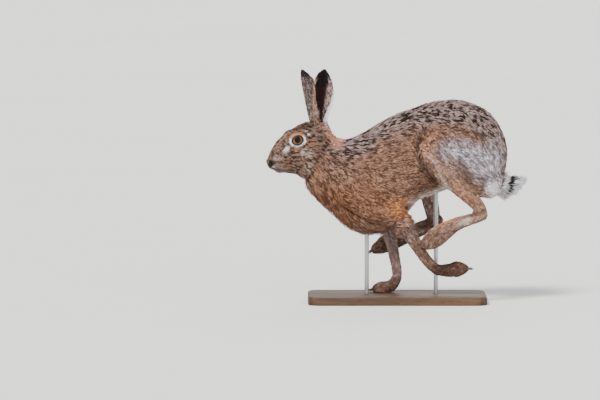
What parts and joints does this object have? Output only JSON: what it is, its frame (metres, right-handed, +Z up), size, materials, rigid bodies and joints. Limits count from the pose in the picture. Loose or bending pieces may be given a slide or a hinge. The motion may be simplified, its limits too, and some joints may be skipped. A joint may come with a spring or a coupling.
{
  "type": "brown hare",
  "caption": "Life-size still model of a brown hare at full run, ears up, one forefoot to the ground, held over a flat base by short rods.",
  "frame": {"origin": "centre of the underside of the display stand's base", "axes": "+Z up; +X from the nose towards the tail; +Y towards the hare's right side"},
  "size_m": [0.4836, 0.17, 0.43],
  "materials": {
    "coat_body": "short ticked brown fur",
    "coat_head": "short ticked fur",
    "coat_haunch": "short grey fur",
    "coat_legs": "short red-brown fur",
    "coat_ears": "thin short fur, black tips",
    "coat_tail": "long white hair, black above",
    "eyes": "wet gloss",
    "stand_wood": "satin",
    "stand_steel": "satin"
  },
  "bodies": {
    "root": {"head": "coat_head", "neck": "coat_body", "torso": "coat_body", "tail": "coat_tail", "ear_left": "coat_ears", "eye_left": "eyes", "thigh_left": "coat_haunch", "shank_left": "coat_legs", "hind_foot_left": "coat_legs", "upper_foreleg_left": "coat_legs", "forearm_left": "coat_legs", "forepaw_left": "coat_legs", "ear_right": "coat_ears", "eye_right": "eyes", "thigh_right": "coat_haunch", "shank_right": "coat_legs", "hind_foot_right": "coat_legs", "upper_foreleg_right": "coat_legs", "forearm_right": "coat_legs", "forepaw_right": "coat_legs", "stand_base": "stand_wood", "stand_rod_front": "stand_steel", "stand_rod_rear": "stand_steel"}
  },
  "joints": []
}
